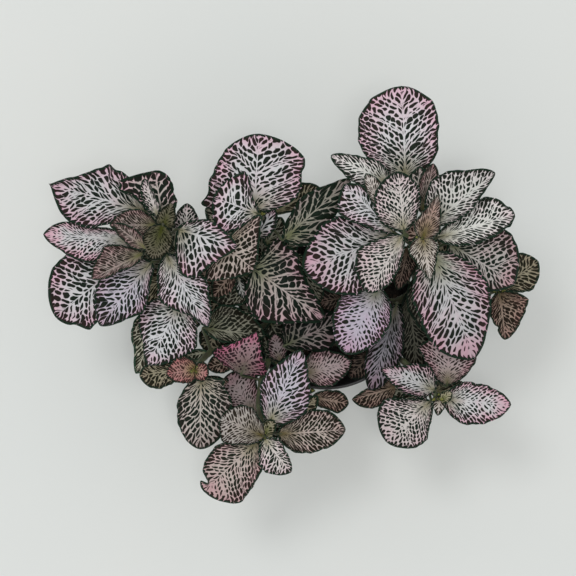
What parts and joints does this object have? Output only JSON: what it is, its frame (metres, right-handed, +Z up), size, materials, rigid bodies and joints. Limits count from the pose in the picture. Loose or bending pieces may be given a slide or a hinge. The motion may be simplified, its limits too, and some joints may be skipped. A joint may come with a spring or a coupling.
{
  "type": "potted nerve plant",
  "caption": "Low, spreading nerve plant with broad, net-veined leaves on leafy stems, growing from soil in a thin round nursery pot.",
  "frame": {"origin": "middle of the pot's underside, on the surface that it stands on", "axes": "+Z up along the pot's axis; +X to the right and +Y to the back, as seen with the pictured side's lower edge in front"},
  "size_m": [0.2503, 0.2066, 0.1423],
  "materials": {
    "pot_plastic": "matte black thin-wall plastic",
    "potting_soil": "rough, crumbly, dark brown peat and bark mix",
    "veined_leaf": "satin, dark green with a pale pink net of veins",
    "stem_green": "satin, pale green with fine hairs"
  },
  "bodies": {
    "root": {"pot": "pot_plastic", "soil": "potting_soil", "left_crown_shoot": "veined_leaf", "inner_left_shoot": "veined_leaf", "back_left_shoot": "veined_leaf", "back_right_shoot": "veined_leaf", "right_crown_shoot": "veined_leaf", "right_low_shoot": "veined_leaf", "front_right_shoot": "veined_leaf", "front_shoot": "veined_leaf", "front_left_shoot": "veined_leaf", "left_low_shoot": "veined_leaf"}
  },
  "joints": []
}
